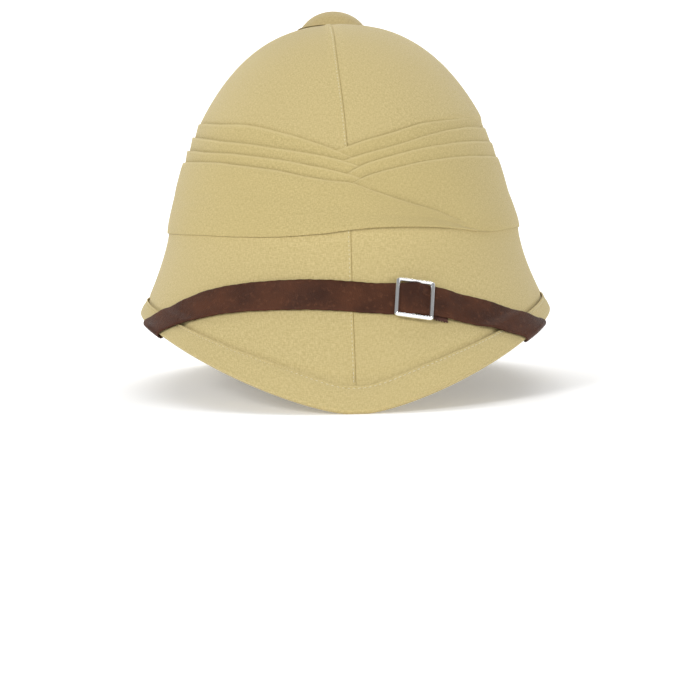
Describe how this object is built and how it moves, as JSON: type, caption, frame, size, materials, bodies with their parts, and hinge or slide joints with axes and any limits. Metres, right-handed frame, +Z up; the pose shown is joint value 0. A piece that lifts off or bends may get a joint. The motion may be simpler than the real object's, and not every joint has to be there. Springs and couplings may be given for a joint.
{
  "type": "pith helmet",
  "caption": "Khaki foreign service pith helmet with cloth cover, pleated puggaree, cloth button and brown leather chin strap with a chrome slide.",
  "frame": {"origin": "middle of the bounding box in X and Y, on the surface that the helmet rests on, halfway between the tip of the peak and the back of the brim", "axes": "+Z up; -Y towards the peak and +Y towards the back of the brim; +X towards the side that is on the right when the helmet is seen from in front"},
  "size_m": [0.251, 0.3598, 0.2266],
  "materials": {
    "khaki_cloth": "plain woven cotton, matt",
    "band_cloth": "plain woven cotton, matt",
    "pith": "stiff moulded pith, matt",
    "brown_leather": "worn, with fine cracks and a soft shine",
    "chrome": "bright plated",
    "brass": "plain, dull"
  },
  "bodies": {
    "root": {"shell": "pith", "cover_front_left": "khaki_cloth", "cover_front_right": "khaki_cloth", "cover_back_left": "khaki_cloth", "cover_back_right": "khaki_cloth", "brim_binding": "khaki_cloth", "puggaree_pleat_top": "band_cloth", "puggaree_pleat_middle": "band_cloth", "puggaree_pleat_low": "band_cloth", "puggaree_wrap": "band_cloth", "top_button": "khaki_cloth", "button_stud": "brass", "chin_strap": "brown_leather", "strap_tail": "brown_leather", "buckle": "chrome", "strap_rivet_left": "brass", "strap_rivet_right": "brass"}
  },
  "joints": []
}
